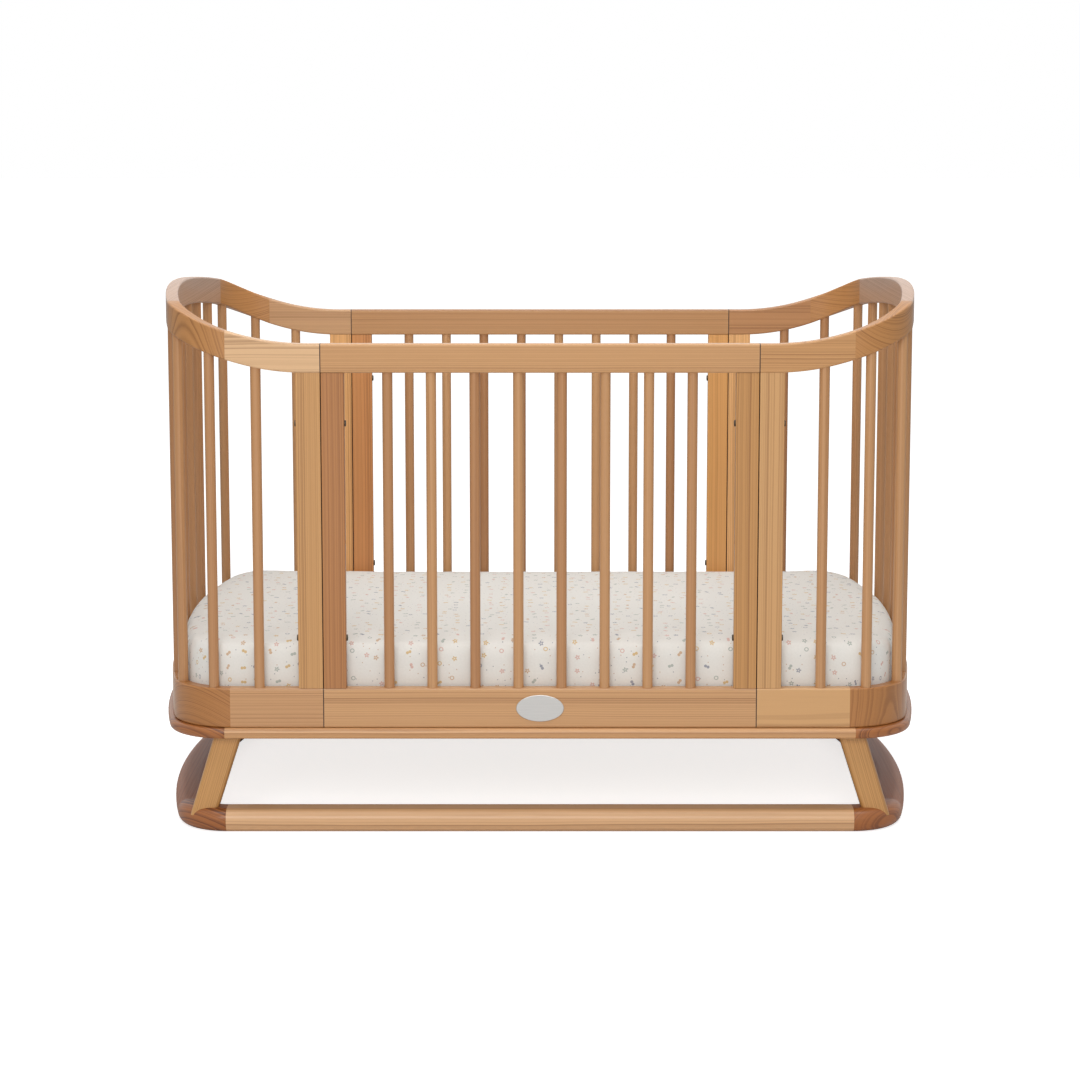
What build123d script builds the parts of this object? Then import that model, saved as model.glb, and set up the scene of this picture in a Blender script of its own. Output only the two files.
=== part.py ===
from build123d import *
from math import atan2, cos, degrees, pi, sin
import os

os.makedirs("parts", exist_ok=True)

# Plan of the crib body, measured to its outer faces
body_half_width = 383.0
body_half_length = 679.0
body_straight_half = 540.0
body_corner_radius = 112.0

# Sections and openings, stacked upwards from the floor
floor_ring_height = 41.0
leg_opening_height = 130.0
platform_thickness = 19.0
bottom_rail_height = 70.0
spindle_opening_height = 552.0
top_rail_height = 50.0
rail_thickness = 22.0
rail_edge_radius = 3.0

# Rise of the end rails: in side view, one even curve from the start to the crest
end_rise = 85.0
end_rise_start = 404.0
arm_steps = 4
corner_steps = 4
bow_steps = 8

# Front and back panels, and the gap where they meet the ends
seam_half = 377.0
seam_gap = 0.4
panel_spindles = 8
panel_spindle_pitch = 75.0
panel_stile_width = 40.0
end_stile_width = 43.0
stile_thickness = 20.0
stile_edge_radius = 2.0

# Spindles and their blind sockets
spindle_radius = 9.0
socket_depth = 14.0
socket_clearance = 0.1
end_spindles = 13
end_spindle_start = 112.0

# Tenons of the stiles
tenon_width = 26.0
tenon_thickness = 8.0
tenon_length = 20.0
tenon_clearance = 0.2
scribe_gap = 0.2

# Connectors that clamp each pair of stiles: a bolt and a sleeve nut
connector_spacing = 376.0
connector_radius = 3.0
connector_engagement = 16.0
connector_head_radius = 5.5
connector_head_height = 2.6
connector_head_edge = 0.6
sleeve_radius = 4.0
sleeve_length = 40.0
sleeve_bore_depth = 34.0
bolt_clearance = 0.1
hex_key_radius = 2.3
hex_key_depth = 1.6

# Holes for the base's upper position, in the edges of the panel stiles
upper_hole_height = 517.0
upper_hole_radius = 4.0
upper_hole_depth = 18.0

# Platform ring under the body, standing a little proud of it
platform_half_width = 391.0
platform_half_length = 688.0
platform_straight_half = 550.0
platform_corner_radius = 109.0
platform_bar_width = 70.0
platform_edge_radius = 8.0

# Floor ring
floor_half_width = 382.0
floor_half_length = 677.0
floor_straight_half = 551.0
floor_corner_radius = 96.0
floor_bar_width = 60.0
floor_edge_radius = 18.0

# Legs, splayed along the length of the crib
leg_foot_x = 589.0
leg_head_x = 548.0
leg_foot_width = 46.0
leg_head_width = 48.0
leg_depth = 38.0
leg_front_inset = 21.0
leg_edge_radius = 8.0
leg_sink = 14.0

# Screws from the platform into the body and the legs
screw_radius = 2.5
screw_head_radius = 4.8
screw_head_height = 2.6
screw_length = 44.0
screw_clearance = 0.1
hole_end_gap = 1.0
side_screw_x = (110.0, 300.0, 480.0)
end_screw_y = 150.0
leg_screw_x = 542.0

# Bolts up through the floor ring into the legs
leg_bolt_radius = 4.0
leg_bolt_head_radius = 6.5
leg_bolt_head_height = 5.0
leg_bolt_recess = 3.0
leg_bolt_grip = 38.0

# Slatted base, which lies on the platform ring and lifts between the rails
base_clearance = 3.0
seat_gap = 0.3
base_height = 35.0
bearer_width = 34.0
slats = 11
slat_width = 55.0
slat_thickness = 12.0
slat_edge_radius = 2.0
end_board_start = 505.0
outer_batten_start = 610.0
outer_batten_half_length = 150.0

# Mattress and the fitted sheet stretched over it
mattress_clearance = 6.0
mattress_height = 102.0
mattress_crown = 4.0
mattress_crown_inset = 70.0
mattress_edge_radius = 24.0
sheet_thickness = 1.0
sheet_hem = 70.0

# Bare oval plate on the front bottom rail
plate_length = 83.0
plate_height = 47.0
plate_thickness = 2.0
plate_edge = 0.7


class OvalPlan:
    """A plan with straight sides, round corners and gently bowed ends, all tangent."""

    def __init__(self, half_width, half_length, straight_half, corner_radius):
        self.half_width = half_width
        self.half_length = half_length
        self.straight_half = straight_half
        self.corner_radius = corner_radius
        self.corner_y = half_width - corner_radius
        reach = half_length - straight_half
        spread = reach**2 + self.corner_y**2 - corner_radius**2
        self.end_radius = spread / (2 * (reach - corner_radius))
        self.end_centre_x = half_length - self.end_radius
        self.end_angle = atan2(self.corner_y, straight_half - self.end_centre_x)
        self.corner_turn = pi / 2 - self.end_angle

    def inset(self, depth):
        """The parallel plan that lies inside this one by a depth."""
        return OvalPlan(
            self.half_width - depth,
            self.half_length - depth,
            self.straight_half,
            self.corner_radius - depth,
        )

    def quarter_length(self, start_x):
        """Length from start_x on a straight side to the middle of the end."""
        corner = self.corner_radius * self.corner_turn
        return self.straight_half - start_x + corner + self.end_radius * self.end_angle

    def along(self, start_x, travel):
        """Point and heading after a travel from start_x on the front, round the right end."""
        quarter = self.quarter_length(start_x)
        if travel > quarter:
            point, heading = self.along(start_x, 2 * quarter - travel)
            return Vector(point.X, -point.Y), Vector(-heading.X, heading.Y)
        on_side = self.straight_half - start_x
        if travel <= on_side:
            return Vector(start_x + travel, -self.half_width), Vector(1, 0)
        turned = (travel - on_side) / self.corner_radius
        if turned <= self.corner_turn:
            centre = Vector(self.straight_half, -self.corner_y)
            spoke = Vector(sin(turned), -cos(turned))
            return centre + spoke * self.corner_radius, Vector(cos(turned), sin(turned))
        left = (quarter - travel) / self.end_radius
        centre = Vector(self.end_centre_x, 0)
        spoke = Vector(cos(left), -sin(left))
        return centre + spoke * self.end_radius, Vector(sin(left), cos(left))

    def end_x(self, y):
        """Where the bowed end stands at a distance from the middle."""
        return self.end_centre_x + (self.end_radius**2 - y**2) ** 0.5

    def face(self, height):
        """Flat face with this outline, at a height."""
        corner_arc = degrees(self.corner_turn)
        end_arc = degrees(self.end_angle)
        with BuildSketch(Plane.XY.offset(height)) as outline:
            with BuildLine():
                Line((0, -self.half_width), (self.straight_half, -self.half_width))
                CenterArc((self.straight_half, -self.corner_y), self.corner_radius, -90, corner_arc)
                CenterArc((self.end_centre_x, 0), self.end_radius, -end_arc, 2 * end_arc)
                CenterArc((self.straight_half, self.corner_y), self.corner_radius, end_arc, corner_arc)
                Line((self.straight_half, self.half_width), (0, self.half_width))
                mirror(about=Plane.YZ)
            make_face()
        return outline.sketch.face()

    def front_corner(self, bar_width, bar_height, edge_radius, underside):
        """Front right corner block of a level ring: the bar's section turned about the corner."""
        place = (self.straight_half, bar_width / 2 - self.half_width, underside + bar_height / 2)
        with BuildPart() as block:
            with BuildSketch(Plane(place, x_dir=(0, -1, 0), z_dir=(1, 0, 0))):
                RectangleRounded(bar_width, bar_height, edge_radius)
            upright = Axis((self.straight_half, -self.corner_y, 0), (0, 0, 1))
            revolve(axis=upright, revolution_arc=degrees(self.corner_turn))
        return block.part

    def right_bow(self, bar_width, bar_height, edge_radius, underside):
        """Right end bar of a level ring: the bar's section turned about the bow's centre."""
        spoke = Vector(cos(self.end_angle), -sin(self.end_angle))
        heading = Vector(sin(self.end_angle), cos(self.end_angle))
        centre = Vector(self.end_centre_x, 0, underside + bar_height / 2)
        place = centre + spoke * (self.end_radius - bar_width / 2)
        with BuildPart() as bar:
            with BuildSketch(Plane(place, x_dir=spoke, z_dir=heading)):
                RectangleRounded(bar_width, bar_height, edge_radius)
            upright = Axis((self.end_centre_x, 0, 0), (0, 0, 1))
            revolve(axis=upright, revolution_arc=degrees(2 * self.end_angle))
        return bar.part


# Plans of the body and the rings
body = OvalPlan(body_half_width, body_half_length, body_straight_half, body_corner_radius)
centre_line = body.inset(rail_thickness / 2)
inside = body.inset(rail_thickness)
platform = OvalPlan(
    platform_half_width, platform_half_length, platform_straight_half, platform_corner_radius
)
floor_ring = OvalPlan(floor_half_width, floor_half_length, floor_straight_half, floor_corner_radius)

# Levels above the floor
platform_underside = floor_ring_height + leg_opening_height
platform_top = platform_underside + platform_thickness
bottom_rail_top = platform_top + bottom_rail_height
top_rail_underside = bottom_rail_top + spindle_opening_height
top_rail_middle = top_rail_underside + top_rail_height / 2

# Places along the seams and round the ends
panel_half = seam_half - seam_gap / 2
end_start = seam_half + seam_gap / 2
quarter = centre_line.quarter_length(end_start)
arm_length = body_straight_half - end_start
corner_end = arm_length + centre_line.corner_radius * centre_line.corner_turn
rail_y = centre_line.half_width


def rail_rise(point):
    """Height that the end rail has gained at a point of its centre line."""
    share = (abs(point.X) - end_rise_start) / (centre_line.half_length - end_rise_start)
    return end_rise * max(share, 0) ** 2


def top_rail_segment(start, finish, steps):
    """A length of the rising rail, lofted through upright sections."""
    with BuildPart() as segment:
        for step in range(steps + 1):
            travel = start + (finish - start) * step / steps
            point, heading = centre_line.along(end_start, travel)
            middle = (point.X, point.Y, top_rail_middle + rail_rise(point))
            with BuildSketch(Plane(middle, x_dir=(heading.Y, -heading.X, 0), z_dir=heading)):
                RectangleRounded(rail_thickness, top_rail_height, rail_edge_radius)
        loft()
    return segment.part


# Spindle places: evenly along each panel and evenly round each end
panel_spindle_x = [
    (number - (panel_spindles - 1) / 2) * panel_spindle_pitch for number in range(panel_spindles)
]
end_spindle_pitch = 2 * (quarter - end_spindle_start) / (end_spindles - 1)
end_spindle_travels = [
    end_spindle_start + number * end_spindle_pitch for number in range(end_spindles)
]
end_spindle_points = [centre_line.along(end_start, travel)[0] for travel in end_spindle_travels]
spindle_foot = bottom_rail_top - socket_depth
spindle_head = top_rail_underside + socket_depth
end_spindle_heads = [spindle_head + rail_rise(point) for point in end_spindle_points]

# Fastener places
stile_middle_z = (bottom_rail_top + top_rail_underside) / 2
clamp_width = panel_stile_width + seam_gap + end_stile_width
body_screw_places = [
    (hand * x, facing * rail_y) for hand in (-1, 1) for facing in (-1, 1) for x in side_screw_x
]
body_screw_places += [
    (hand * centre_line.end_x(end_screw_y), facing * end_screw_y)
    for hand in (-1, 1)
    for facing in (-1, 1)
]
leg_y = floor_half_width - leg_front_inset - leg_depth / 2
leg_foot_places = [(hand * leg_foot_x, facing * leg_y) for hand in (-1, 1) for facing in (-1, 1)]
leg_screw_places = [(hand * leg_screw_x, facing * leg_y) for hand in (-1, 1) for facing in (-1, 1)]
connector_places = [
    (hand, facing * rail_y, stile_middle_z + level * connector_spacing / 2)
    for hand in (-1, 1)
    for facing in (-1, 1)
    for level in (-1, 1)
]
lowest = (Align.CENTER, Align.CENTER, Align.MIN)
highest = (Align.CENTER, Align.CENTER, Align.MAX)


def cut_spindle_sockets(points, heads):
    """Blind round sockets in the rails for the ends of spindles."""
    radius = spindle_radius + socket_clearance
    with Locations(*[(point.X, point.Y, spindle_foot) for point in points]):
        Cylinder(radius, bottom_rail_height, align=lowest, mode=Mode.SUBTRACT)
    with Locations(*[(point.X, point.Y, head) for point, head in zip(points, heads)]):
        Cylinder(radius, top_rail_height, align=highest, mode=Mode.SUBTRACT)


def cut_mortises(stile_x):
    """Mortises in the rails above and below a stile and its mirror images."""
    spots = [(hand * stile_x, facing * rail_y) for hand in (-1, 1) for facing in (-1, 1)]
    width = tenon_width + 2 * tenon_clearance
    thickness = tenon_thickness + 2 * tenon_clearance
    depth = tenon_length + tenon_clearance
    faces = (bottom_rail_top, top_rail_underside)
    with Locations(*[(x, y, face) for x, y in spots for face in faces]):
        Box(width, thickness, 2 * depth, mode=Mode.SUBTRACT)


def cut_body_screw_holes():
    """Holes for the body screws, countersunk in the platform's underside."""
    with Locations(*[(x, y, platform_underside) for x, y in body_screw_places]):
        Cylinder(screw_radius + screw_clearance, screw_length, align=lowest, mode=Mode.SUBTRACT)
        Cone(
            screw_head_radius + screw_clearance,
            screw_radius + screw_clearance,
            screw_head_height,
            align=lowest,
            mode=Mode.SUBTRACT,
        )


def cut_leg_screw_holes():
    """Holes for the leg screws, countersunk in the platform's top."""
    with Locations(*[(x, y, platform_top) for x, y in leg_screw_places]):
        Cylinder(screw_radius + screw_clearance, screw_length, align=highest, mode=Mode.SUBTRACT)
        Cone(
            screw_radius + screw_clearance,
            screw_head_radius + screw_clearance,
            screw_head_height,
            align=highest,
            mode=Mode.SUBTRACT,
        )


def cut_leg_bolt_holes():
    """Upright holes through the floor ring into the legs, widened for the bolt heads."""
    with Locations(*[(x, y, 0) for x, y in leg_foot_places]):
        Cylinder(
            leg_bolt_radius + bolt_clearance,
            floor_ring_height + leg_bolt_grip,
            align=lowest,
            mode=Mode.SUBTRACT,
        )
        Cylinder(
            leg_bolt_head_radius + bolt_clearance,
            leg_bolt_recess + leg_bolt_head_height,
            align=lowest,
            mode=Mode.SUBTRACT,
        )


def cut_connector_holes():
    """Holes through both stiles of every pair, along the connectors."""
    places = [
        Location((hand * seam_half, y, z), (0, 90, 0)) for hand, y, z in connector_places
    ]
    with Locations(*places):
        Cylinder(sleeve_radius + bolt_clearance, 2 * clamp_width, mode=Mode.SUBTRACT)


# Floor ring: two straight bars, four corner blocks and two bowed end bars
for side, facing in (("front", -1), ("back", 1)):
    with BuildPart() as floor_bar:
        with BuildSketch(Plane.YZ.offset(-floor_straight_half)):
            with Locations((facing * (floor_half_width - floor_bar_width / 2), floor_ring_height / 2)):
                RectangleRounded(floor_bar_width, floor_ring_height, floor_edge_radius)
        extrude(amount=2 * floor_straight_half)
    floor_bar.part.label = f"floor_bar_{side}"
    export_step(floor_bar.part, f"parts/floor_bar_{side}.step")

floor_corner = floor_ring.front_corner(floor_bar_width, floor_ring_height, floor_edge_radius, 0)
with BuildPart() as floor_corners_right:
    add(floor_corner)
    mirror(about=Plane.XZ)
    cut_leg_bolt_holes()
floor_corners_right.part.label = "floor_corners_right"
export_step(floor_corners_right.part, "parts/floor_corners_right.step")

with BuildPart() as floor_bow_right:
    add(floor_ring.right_bow(floor_bar_width, floor_ring_height, floor_edge_radius, 0))
floor_bow_right.part.label = "floor_bow_right"
export_step(floor_bow_right.part, "parts/floor_bow_right.step")

# Platform ring: the same pattern in thin stock
platform_section = (platform_bar_width, platform_thickness, platform_edge_radius)
for side, facing in (("front", -1), ("back", 1)):
    bar_middle = (
        facing * (platform_half_width - platform_bar_width / 2),
        platform_underside + platform_thickness / 2,
    )
    with BuildPart() as platform_bar:
        with BuildSketch(Plane.YZ.offset(-platform_straight_half)):
            with Locations(bar_middle):
                RectangleRounded(*platform_section)
        extrude(amount=2 * platform_straight_half)
        cut_body_screw_holes()
        cut_leg_screw_holes()
    platform_bar.part.label = f"platform_bar_{side}"
    export_step(platform_bar.part, f"parts/platform_bar_{side}.step")

with BuildPart() as platform_corners_right:
    add(platform.front_corner(*platform_section, platform_underside))
    mirror(about=Plane.XZ)
platform_corners_right.part.label = "platform_corners_right"
export_step(platform_corners_right.part, "parts/platform_corners_right.step")

with BuildPart() as platform_bow_right:
    add(platform.right_bow(*platform_section, platform_underside))
    cut_body_screw_holes()
platform_bow_right.part.label = "platform_bow_right"
export_step(platform_bow_right.part, "parts/platform_bow_right.step")

# Legs: tapered and splayed, each foot scribed to the rounded top of its corner block
sunk_x = leg_foot_x + leg_sink * (leg_foot_x - leg_head_x) / leg_opening_height
with BuildPart() as leg_front_right:
    with BuildSketch(Plane.XY.offset(floor_ring_height - leg_sink)):
        with Locations((sunk_x, -leg_y)):
            RectangleRounded(leg_foot_width, leg_depth, leg_edge_radius)
    with BuildSketch(Plane.XY.offset(platform_underside)):
        with Locations((leg_head_x, -leg_y)):
            RectangleRounded(leg_head_width, leg_depth, leg_edge_radius)
    loft(ruled=True)
    add(floor_corner, mode=Mode.SUBTRACT)
    cut_leg_bolt_holes()
    cut_leg_screw_holes()
leg_front_right.part.label = "leg_front_right"
export_step(leg_front_right.part, "parts/leg_front_right.step")

with BuildPart() as leg_back_right:
    mirror(leg_front_right.part, about=Plane.XZ)
leg_back_right.part.label = "leg_back_right"
export_step(leg_back_right.part, "parts/leg_back_right.step")

# Front and back panels: two rails, two stiles and a row of spindles each
panel_stile_x = panel_half - panel_stile_width / 2
panel_points = [
    Vector(x, facing * rail_y) for x in panel_spindle_x for facing in (-1, 1)
]
for side, facing in (("front", -1), ("back", 1)):
    with BuildPart() as bottom_rail:
        with BuildSketch(Plane.YZ.offset(-panel_half)):
            with Locations((facing * rail_y, platform_top + bottom_rail_height / 2)):
                RectangleRounded(rail_thickness, bottom_rail_height, rail_edge_radius)
        extrude(amount=2 * panel_half)
        cut_spindle_sockets(panel_points, [spindle_head] * len(panel_points))
        cut_mortises(panel_stile_x)
        cut_body_screw_holes()
    bottom_rail.part.label = f"bottom_rail_{side}"
    export_step(bottom_rail.part, f"parts/bottom_rail_{side}.step")

    with BuildPart() as top_rail:
        with BuildSketch(Plane.YZ.offset(-panel_half)):
            with Locations((facing * rail_y, top_rail_middle)):
                RectangleRounded(rail_thickness, top_rail_height, rail_edge_radius)
        extrude(amount=2 * panel_half)
        cut_spindle_sockets(panel_points, [spindle_head] * len(panel_points))
        cut_mortises(panel_stile_x)
    top_rail.part.label = f"top_rail_{side}"
    export_step(top_rail.part, f"parts/top_rail_{side}.step")

    with BuildPart() as spindles:
        with Locations(*[(x, facing * rail_y, spindle_foot) for x in panel_spindle_x]):
            Cylinder(spindle_radius, spindle_head - spindle_foot, align=lowest)
    spindles.part.label = f"spindles_{side}"
    export_step(spindles.part, f"parts/spindles_{side}.step")

    for end, hand in (("left", -1), ("right", 1)):
        with BuildPart() as panel_stile:
            with BuildSketch(Plane.XY.offset(bottom_rail_top)):
                with Locations((hand * panel_stile_x, facing * rail_y)):
                    RectangleRounded(panel_stile_width, stile_thickness, stile_edge_radius)
            extrude(amount=spindle_opening_height)
            with Locations((hand * panel_stile_x, facing * rail_y, stile_middle_z)):
                Box(tenon_width, tenon_thickness, spindle_opening_height + 2 * tenon_length)
            cut_connector_holes()
            edge = (hand * (panel_half - panel_stile_width), facing * rail_y, upper_hole_height)
            with Locations(Location(edge, (0, 90 * hand, 0))):
                Cylinder(upper_hole_radius, upper_hole_depth, align=lowest, mode=Mode.SUBTRACT)
        panel_stile.part.label = f"panel_stile_{side}_{end}"
        export_step(panel_stile.part, f"parts/panel_stile_{side}_{end}.step")

# Right end: level bottom rail in five blocks
rail_section = (rail_thickness, bottom_rail_height, rail_edge_radius)
end_stile_x = end_start + end_stile_width / 2
with BuildPart() as bottom_arms_right:
    with BuildSketch(Plane.YZ.offset(end_start)):
        with Locations((-rail_y, platform_top + bottom_rail_height / 2)):
            RectangleRounded(*rail_section)
    extrude(amount=arm_length)
    mirror(about=Plane.XZ)
    cut_spindle_sockets(end_spindle_points, end_spindle_heads)
    cut_mortises(end_stile_x)
    cut_body_screw_holes()
bottom_arms_right.part.label = "bottom_arms_right"
export_step(bottom_arms_right.part, "parts/bottom_arms_right.step")

with BuildPart() as bottom_corners_right:
    add(body.front_corner(*rail_section, platform_top))
    mirror(about=Plane.XZ)
    cut_spindle_sockets(end_spindle_points, end_spindle_heads)
bottom_corners_right.part.label = "bottom_corners_right"
export_step(bottom_corners_right.part, "parts/bottom_corners_right.step")

with BuildPart() as bottom_bow_right:
    add(body.right_bow(*rail_section, platform_top))
    cut_spindle_sockets(end_spindle_points, end_spindle_heads)
    cut_body_screw_holes()
bottom_bow_right.part.label = "bottom_bow_right"
export_step(bottom_bow_right.part, "parts/bottom_bow_right.step")

# Right end: top rail in five blocks that rise to the crest
top_arm = top_rail_segment(0, arm_length, arm_steps)
with BuildPart() as top_arms_right:
    add(top_arm)
    mirror(about=Plane.XZ)
    cut_spindle_sockets(end_spindle_points, end_spindle_heads)
    cut_mortises(end_stile_x)
top_arms_right.part.label = "top_arms_right"
export_step(top_arms_right.part, "parts/top_arms_right.step")

with BuildPart() as top_corners_right:
    add(top_rail_segment(arm_length, corner_end, corner_steps))
    mirror(about=Plane.XZ)
    cut_spindle_sockets(end_spindle_points, end_spindle_heads)
top_corners_right.part.label = "top_corners_right"
export_step(top_corners_right.part, "parts/top_corners_right.step")

with BuildPart() as top_bow_right:
    add(top_rail_segment(corner_end, 2 * quarter - corner_end, bow_steps))
    cut_spindle_sockets(end_spindle_points, end_spindle_heads)
top_bow_right.part.label = "top_bow_right"
export_step(top_bow_right.part, "parts/top_bow_right.step")

# Right end: stiles scribed to the rising rail, and the ring of spindles
with BuildPart() as end_stile_front_right:
    with BuildSketch(Plane.XY.offset(bottom_rail_top)):
        with Locations((end_stile_x, -rail_y)):
            RectangleRounded(end_stile_width, stile_thickness, stile_edge_radius)
    extrude(amount=spindle_opening_height + top_rail_height / 2)
    with Locations((0, 0, -scribe_gap)):
        add(top_arm, mode=Mode.SUBTRACT)
    with Locations((end_stile_x, -rail_y, stile_middle_z)):
        Box(tenon_width, tenon_thickness, spindle_opening_height + 2 * tenon_length)
    cut_connector_holes()
end_stile_front_right.part.label = "end_stile_front_right"
export_step(end_stile_front_right.part, "parts/end_stile_front_right.step")

with BuildPart() as end_stile_back_right:
    mirror(end_stile_front_right.part, about=Plane.XZ)
end_stile_back_right.part.label = "end_stile_back_right"
export_step(end_stile_back_right.part, "parts/end_stile_back_right.step")

with BuildPart() as spindles_right:
    for point, head in zip(end_spindle_points, end_spindle_heads):
        with Locations((point.X, point.Y, spindle_foot)):
            Cylinder(spindle_radius, head - spindle_foot, align=lowest)
spindles_right.part.label = "spindles_right"
export_step(spindles_right.part, "parts/spindles_right.step")

# Connectors: a button-head bolt from the panel side meets a sleeve nut from the end side
bolt_length = clamp_width - sleeve_length + connector_engagement
with BuildPart() as connector_bolt:
    with BuildSketch(Plane.XY):
        Circle(connector_head_radius)
    extrude(amount=-connector_head_height)
    chamfer(connector_bolt.edges().sort_by(Axis.Z)[0], connector_head_edge)
    with BuildSketch(Plane.XY.offset(-connector_head_height)):
        RegularPolygon(hex_key_radius, 6)
    extrude(amount=hex_key_depth, mode=Mode.SUBTRACT)
    with BuildSketch(Plane.XY):
        Circle(connector_radius)
    extrude(amount=bolt_length)
with BuildPart() as connector_bolts:
    for hand, y, z in connector_places:
        with Locations(Location((hand * (panel_half - panel_stile_width), y, z), (0, 90 * hand, 0))):
            add(connector_bolt.part)
connector_bolts.part.label = "connector_bolts"
export_step(connector_bolts.part, "parts/connector_bolts.step")

with BuildPart() as sleeve_nut:
    Cylinder(sleeve_radius, sleeve_length, align=highest)
    Cylinder(connector_head_radius, connector_head_height, align=lowest)
    chamfer(sleeve_nut.edges().sort_by(Axis.Z)[-1], connector_head_edge)
    with Locations((0, 0, -sleeve_length)):
        Cylinder(
            connector_radius + bolt_clearance, sleeve_bore_depth, align=lowest, mode=Mode.SUBTRACT
        )
with BuildPart() as sleeve_nuts:
    for hand, y, z in connector_places:
        with Locations(Location((hand * (end_start + end_stile_width), y, z), (0, 90 * hand, 0))):
            add(sleeve_nut.part)
sleeve_nuts.part.label = "sleeve_nuts"
export_step(sleeve_nuts.part, "parts/sleeve_nuts.step")

# Countersunk screws: body screws point up into the rails, leg screws down into the legs
with BuildPart() as screw:
    Cylinder(screw_radius, screw_length - hole_end_gap, align=lowest)
    Cone(screw_head_radius, screw_radius, screw_head_height, align=lowest)
with BuildPart() as body_screws:
    with Locations(*[(x, y, platform_underside) for x, y in body_screw_places]):
        add(screw.part)
body_screws.part.label = "body_screws"
export_step(body_screws.part, "parts/body_screws.step")

with BuildPart() as leg_screws:
    with Locations(*[Location((x, y, platform_top), (180, 0, 0)) for x, y in leg_screw_places]):
        add(screw.part)
leg_screws.part.label = "leg_screws"
export_step(leg_screws.part, "parts/leg_screws.step")

leg_bolt_length = floor_ring_height + leg_bolt_grip - leg_bolt_recess - hole_end_gap
with BuildPart() as leg_bolts:
    with Locations(*[(x, y, leg_bolt_recess) for x, y in leg_foot_places]):
        Cylinder(leg_bolt_head_radius, leg_bolt_head_height, align=lowest)
        Cylinder(leg_bolt_radius, leg_bolt_length, align=lowest)
leg_bolts.part.label = "leg_bolts"
export_step(leg_bolts.part, "parts/leg_bolts.step")

# Slatted base: two long bearers, four battens, a row of slats and two curved end boards
base = inside.inset(base_clearance)
base_bottom = platform_top + seat_gap
bearer_height = base_height - slat_thickness
slat_bottom = base_bottom + bearer_height
bearer_y = base.half_width - bearer_width / 2
with BuildPart() as base_bearers:
    with Locations(*[(0, facing * bearer_y, base_bottom) for facing in (-1, 1)]):
        Box(2 * body_straight_half, bearer_width, bearer_height, align=lowest)
base_bearers.part.label = "base_bearers"
export_step(base_bearers.part, "parts/base_bearers.step")

between_bearers = 2 * (base.half_width - bearer_width)
inner_batten_x = end_board_start + bearer_width / 2
outer_batten_x = outer_batten_start + bearer_width / 2
with BuildPart() as base_battens:
    with Locations(*[(hand * inner_batten_x, 0, base_bottom) for hand in (-1, 1)]):
        Box(bearer_width, between_bearers, bearer_height, align=lowest)
    with Locations(*[(hand * outer_batten_x, 0, base_bottom) for hand in (-1, 1)]):
        Box(bearer_width, 2 * outer_batten_half_length, bearer_height, align=lowest)
base_battens.part.label = "base_battens"
export_step(base_battens.part, "parts/base_battens.step")

slat_gap = (2 * end_board_start - slats * slat_width) / (slats + 1)
slat_pitch = slat_width + slat_gap
with BuildPart() as base_slats:
    with BuildSketch(Plane.XZ.offset(-base.half_width)):
        with Locations((0, slat_bottom + slat_thickness / 2)):
            with GridLocations(slat_pitch, 1, slats, 1):
                RectangleRounded(slat_width, slat_thickness, slat_edge_radius)
    extrude(amount=2 * base.half_width)
base_slats.part.label = "base_slats"
export_step(base_slats.part, "parts/base_slats.step")

with BuildPart() as base_end_board_right:
    extrude(base.face(slat_bottom), amount=slat_thickness)
    split(bisect_by=Plane.YZ.offset(end_board_start), keep=Keep.TOP)
base_end_board_right.part.label = "base_end_board_right"
export_step(base_end_board_right.part, "parts/base_end_board_right.step")


def cushion(grow, bottom):
    """Mattress form with round edges and a low crown, grown outwards by an amount."""
    plan = inside.inset(mattress_clearance - grow)
    rim_height = bottom + mattress_height - mattress_crown + grow
    with BuildPart() as form:
        extrude(plan.face(bottom - grow), amount=rim_height - bottom + grow)
        rims = form.edges().filter_by(Plane.XY)
        fillet(rims, mattress_edge_radius + grow)
        rim = plan.inset(mattress_edge_radius + grow).face(rim_height)
        crown = plan.inset(mattress_crown_inset + grow).face(rim_height + mattress_crown)
        loft([rim, crown], ruled=True)
    return form.part


# Mattress in its fitted sheet, whose hem turns in under the edge
sheet_bottom = slat_bottom + slat_thickness + seat_gap
mattress_bottom = sheet_bottom + sheet_thickness
mattress_form = cushion(0, mattress_bottom)
with BuildPart() as mattress:
    add(mattress_form)
mattress.part.label = "mattress"
export_step(mattress.part, "parts/mattress.step")

with BuildPart() as fitted_sheet:
    add(cushion(sheet_thickness, mattress_bottom))
    add(mattress_form, mode=Mode.SUBTRACT)
    hem_opening = inside.inset(mattress_clearance + sheet_hem).face(sheet_bottom)
    extrude(hem_opening, amount=sheet_thickness, mode=Mode.SUBTRACT)
fitted_sheet.part.label = "fitted_sheet"
export_step(fitted_sheet.part, "parts/fitted_sheet.step")

# Oval plate, centred on the front bottom rail
plate_place = (0, -body_half_width, platform_top + bottom_rail_height / 2)
with BuildPart() as oval_plate:
    with BuildSketch(Plane(plate_place, x_dir=(1, 0, 0), z_dir=(0, -1, 0))):
        Ellipse(plate_length / 2, plate_height / 2)
    extrude(amount=plate_thickness)
    chamfer(oval_plate.edges().sort_by(Axis.Y)[0], plate_edge)
oval_plate.part.label = "oval_plate"
export_step(oval_plate.part, "parts/oval_plate.step")

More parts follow.
